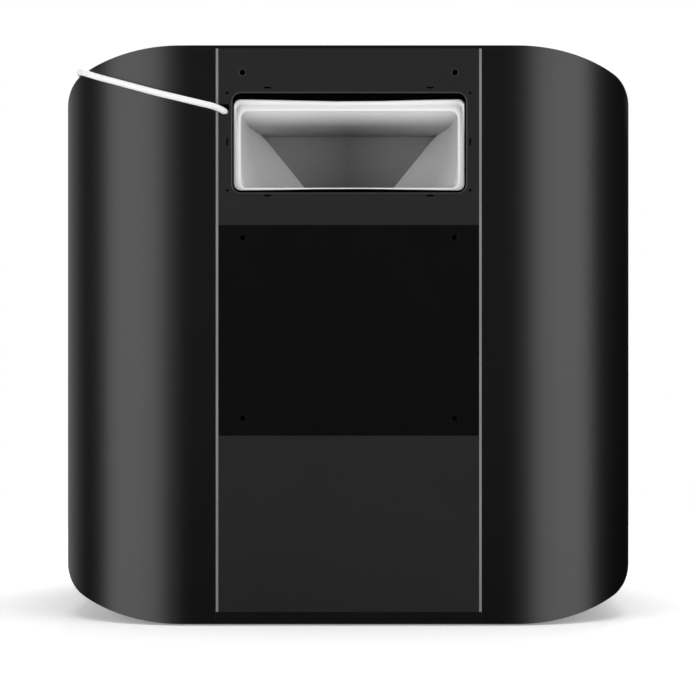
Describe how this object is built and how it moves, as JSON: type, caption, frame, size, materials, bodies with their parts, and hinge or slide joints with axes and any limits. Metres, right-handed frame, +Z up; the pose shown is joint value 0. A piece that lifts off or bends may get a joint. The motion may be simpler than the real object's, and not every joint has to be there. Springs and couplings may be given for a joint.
{
  "type": "enclosed delta 3-D printer",
  "caption": "Enclosed desktop delta 3-D printer: rounded casing, exhaust duct and service cover behind, glazed front door, belt-driven carriages that lift a print head over a round bed.",
  "frame": {"origin": "centre of the footprint on the surface that the feet stand on, without the guide tube", "axes": "+Z up, +Y towards the door, the rear panels face -Y"},
  "size_m": [0.375, 0.3745, 0.357],
  "materials": {
    "shell_black": "satin",
    "panel_grey": "satin",
    "cover_black": "matte",
    "trim_grey": "satin",
    "white_plastic": "satin",
    "black_plastic": "matte",
    "grey_plastic": "satin",
    "steel": "satin",
    "bright_steel": "polished",
    "aluminium": "satin",
    "dark_aluminium": "anodised",
    "motor_black": "satin",
    "rubber": "matte",
    "board_green": "satin",
    "sheet_bronze": "matte",
    "brass": "satin",
    "carbon": "satin",
    "smoked_glass": "gloss",
    "display": "gloss",
    "tube_white": "satin"
  },
  "bodies": {
    "casing": {"base_pan": "shell_black", "left_side_shell": "shell_black", "right_side_shell": "shell_black", "top_cover": "shell_black", "feet": "rubber", "rear_upper_panel": "panel_grey", "rear_service_cover": "cover_black", "rear_lower_panel": "panel_grey", "rear_trim_strips": "trim_grey", "rear_rails": "black_plastic", "cover_screws": "cover_black", "exhaust_duct": "white_plastic", "exhaust_fan_frame": "black_plastic", "bay_partition": "panel_grey", "deck_plate": "panel_grey", "lower_frame": "dark_aluminium", "upper_frame": "dark_aluminium", "tower_extrusions": "aluminium", "linear_rails": "bright_steel", "stepper_motors": "motor_black", "belts": "rubber", "heated_bed": "aluminium", "build_sheet": "sheet_bronze", "display_module": "display", "encoder_body": "steel", "power_switch_body": "black_plastic", "mainboard": "board_green", "power_supply": "steel", "power_inlet": "black_plastic", "feeder_body": "aluminium", "feeder_motor": "motor_black", "tube_fitting": "black_plastic", "filament_tube": "tube_white", "tube_coil": "tube_white", "bowden_tube": "tube_white", "front_frame": "panel_grey", "hinge_brackets": "steel"},
    "door": {"door_frame": "black_plastic", "door_glass": "smoked_glass", "door_handle": "aluminium"},
    "carriage_a_body": {"carriage_a": "dark_aluminium"},
    "carriage_b_body": {"carriage_b": "dark_aluminium"},
    "carriage_c_body": {"carriage_c": "dark_aluminium"},
    "print_head": {"effector": "dark_aluminium", "arms": "carbon", "hotend": "aluminium", "heater_block": "brass", "hotend_fan_frame": "black_plastic"},
    "exhaust_rotor": {"exhaust_fan_rotor": "black_plastic"},
    "head_rotor": {"hotend_fan_rotor": "black_plastic"},
    "knob": {"control_knob": "grey_plastic"},
    "button": {"power_button": "grey_plastic"},
    "gear": {"feeder_gear": "brass"},
    "lever": {"feeder_lever": "dark_aluminium"},
    "drive_a": {"drive_pulley_a": "aluminium"},
    "idler_body_a": {"idler_a": "aluminium"},
    "drive_b": {"drive_pulley_b": "aluminium"},
    "idler_body_b": {"idler_b": "aluminium"},
    "drive_c": {"drive_pulley_c": "aluminium"},
    "idler_body_c": {"idler_c": "aluminium"}
  },
  "joints": [
    {"name": "door_hinge", "type": "hinge", "parent": "casing", "child": "door", "pos_m": [0.0838, 0.161, 0.194], "axis": [0, 0, -1], "range_deg": [0, 110]},
    {"name": "carriage_a_slide", "type": "slide", "parent": "casing", "child": "carriage_a_body", "axis": [0, 0, 1], "range_m": [-0.09, 0]},
    {"name": "carriage_b_slide", "type": "slide", "parent": "casing", "child": "carriage_b_body", "axis": [0, 0, 1], "range_m": [-0.09, 0]},
    {"name": "carriage_c_slide", "type": "slide", "parent": "casing", "child": "carriage_c_body", "axis": [0, 0, 1], "range_m": [-0.09, 0]},
    {"name": "head_lift", "type": "slide", "parent": "casing", "child": "print_head", "axis": [0, 0, 1], "range_m": [-0.09, 0], "deforming": ["bowden_tube"]},
    {"name": "exhaust_fan_spin", "type": "hinge", "parent": "casing", "child": "exhaust_rotor", "pos_m": [0, -0.142, 0.2449], "axis": [0, 0, 1], "continuous": true},
    {"name": "head_fan_spin", "type": "hinge", "parent": "print_head", "child": "head_rotor", "pos_m": [0, 0.044, 0.1953], "axis": [0, 1, 0], "continuous": true},
    {"name": "knob_turn", "type": "hinge", "parent": "casing", "child": "knob", "pos_m": [-0.062, 0.16, 0.0315], "axis": [0, 1, 0], "continuous": true},
    {"name": "button_press", "type": "slide", "parent": "casing", "child": "button", "axis": [0, -1, 0], "range_m": [0, 0.002], "stiffness_N_per_m": 500, "springref_m": -0.001},
    {"name": "feeder_gear_spin", "type": "hinge", "parent": "casing", "child": "gear", "pos_m": [-0.0714, -0.135, 0.30612], "axis": [1, 0, 0], "continuous": true},
    {"name": "lever_lift", "type": "hinge", "parent": "casing", "child": "lever", "pos_m": [-0.0714, -0.1405, 0.31677], "axis": [1, 0, 0], "range_deg": [0, 15], "stiffness_Nm_per_rad": 0.05, "springref_deg": -17.19},
    {"name": "drive_pulley_a_turn", "type": "hinge", "parent": "casing", "child": "drive_a", "pos_m": [0, -0.071, 0.0282], "axis": [0, -1, 0], "continuous": true},
    {"name": "idler_a_turn", "type": "hinge", "parent": "casing", "child": "idler_body_a", "pos_m": [0, -0.071, 0.328], "axis": [0, -1, 0], "continuous": true},
    {"name": "drive_pulley_b_turn", "type": "hinge", "parent": "casing", "child": "drive_b", "pos_m": [0.0866, 0.079, 0.0282], "axis": [0.866, 0.5, 0], "continuous": true},
    {"name": "idler_b_turn", "type": "hinge", "parent": "casing", "child": "idler_body_b", "pos_m": [0.0866, 0.079, 0.328], "axis": [0.866, 0.5, 0], "continuous": true},
    {"name": "drive_pulley_c_turn", "type": "hinge", "parent": "casing", "child": "drive_c", "pos_m": [-0.0866, 0.079, 0.0282], "axis": [-0.866, 0.5, 0], "continuous": true},
    {"name": "idler_c_turn", "type": "hinge", "parent": "casing", "child": "idler_body_c", "pos_m": [-0.0866, 0.079, 0.328], "axis": [-0.866, 0.5, 0], "continuous": true}
  ],
  "couplings": [
    {"joint": "carriage_b_slide", "follows": "carriage_a_slide", "ratio": 1},
    {"joint": "carriage_c_slide", "follows": "carriage_a_slide", "ratio": 1},
    {"joint": "head_lift", "follows": "carriage_a_slide", "ratio": 1},
    {"joint": "drive_pulley_a_turn", "follows": "carriage_a_slide", "rad_per_m": 157.08},
    {"joint": "idler_a_turn", "follows": "carriage_a_slide", "rad_per_m": 157.08},
    {"joint": "drive_pulley_b_turn", "follows": "carriage_a_slide", "rad_per_m": 157.08},
    {"joint": "idler_b_turn", "follows": "carriage_a_slide", "rad_per_m": 157.08},
    {"joint": "drive_pulley_c_turn", "follows": "carriage_a_slide", "rad_per_m": 157.08},
    {"joint": "idler_c_turn", "follows": "carriage_a_slide", "rad_per_m": 157.08}
  ]
}
